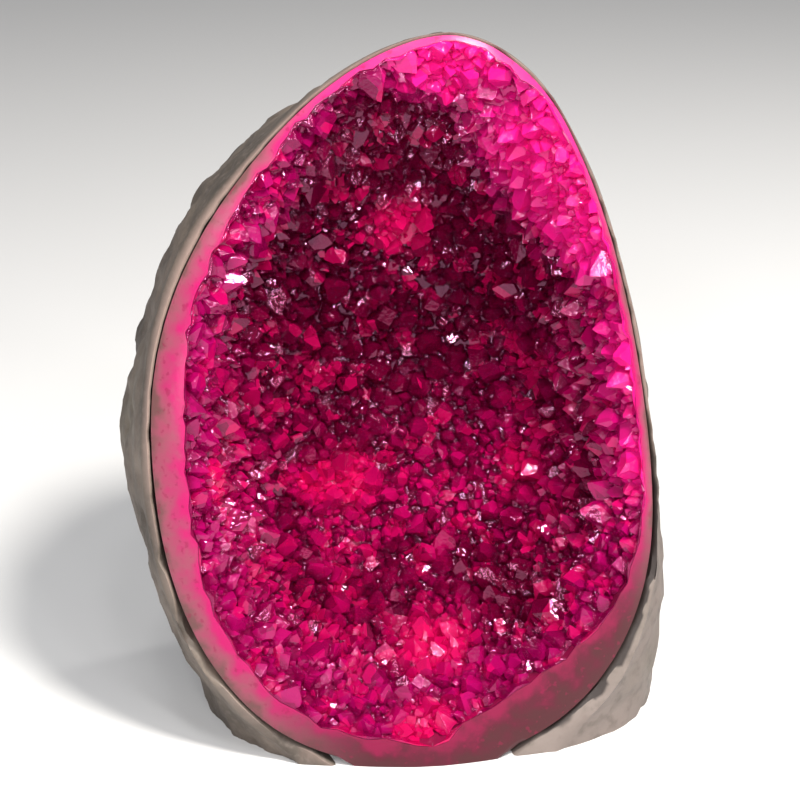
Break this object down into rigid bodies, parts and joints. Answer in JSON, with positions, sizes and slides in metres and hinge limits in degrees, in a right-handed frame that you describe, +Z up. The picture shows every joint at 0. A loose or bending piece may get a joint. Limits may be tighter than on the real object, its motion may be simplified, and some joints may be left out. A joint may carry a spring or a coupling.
{
  "type": "quartz geode",
  "caption": "Egg-shaped geode cut flat to stand: grey rind, polished pink agate rim and a hollow lined with magenta quartz crystals.",
  "frame": {"origin": "on the sawn base's plane, under the middle of the part's box", "axes": "+Z up, -Y out of the open face, +X to the right of someone who looks into it"},
  "size_m": [0.0854, 0.0686, 0.1099],
  "materials": {
    "rind": "rough natural skin, sawn at the base",
    "agate_band": "polished, dyed magenta",
    "crystal_crust": "clear quartz points, dyed magenta"
  },
  "bodies": {
    "root": {"rind": "rind", "agate_band": "agate_band", "crystal_crust": "crystal_crust"}
  },
  "joints": []
}
